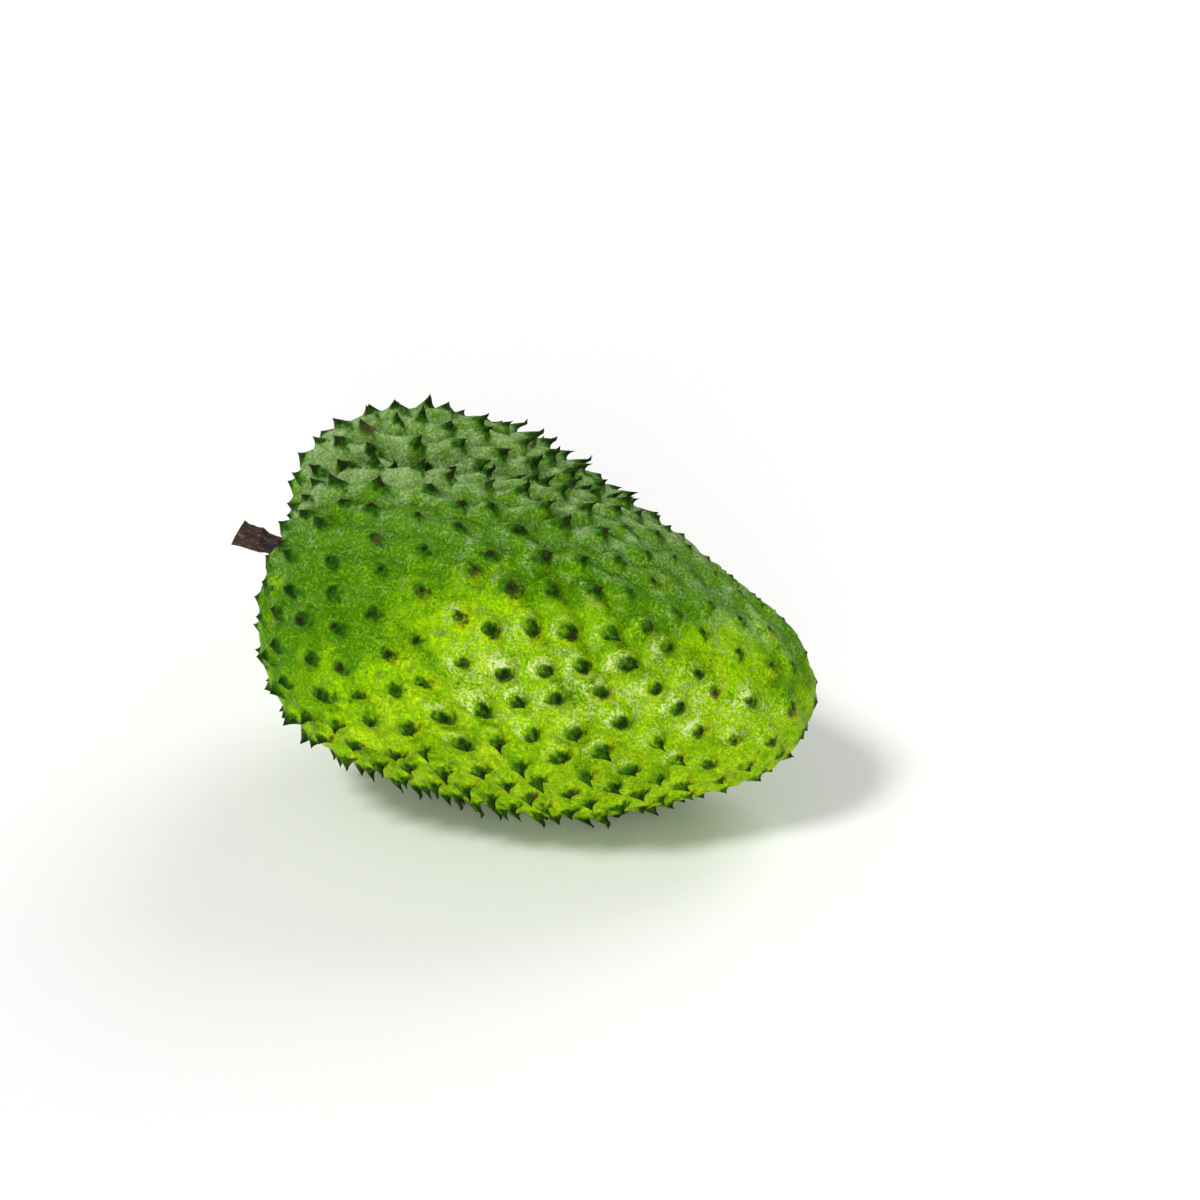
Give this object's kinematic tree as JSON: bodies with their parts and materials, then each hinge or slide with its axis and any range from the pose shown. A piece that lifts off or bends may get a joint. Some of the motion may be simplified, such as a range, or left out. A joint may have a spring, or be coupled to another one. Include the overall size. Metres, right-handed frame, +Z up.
{
  "type": "soursop",
  "caption": "Whole ripe soursop lying on its side: a lopsided two-lobed green fruit set with soft hooked spines, with a stub of woody stem.",
  "frame": {"origin": "centre of the small flat spot on the underside that the fruit rests on", "axes": "+X from the stem end towards the blossom end, +Z up, -Y out of the plumper flank"},
  "size_m": [0.2143, 0.1628, 0.1252],
  "materials": {
    "rind": "thin green fruit rind, semi-matt with a waxy sheen",
    "bark": "rough dry brown bark"
  },
  "bodies": {
    "root": {"fruit": "rind", "stem": "bark"}
  },
  "joints": []
}
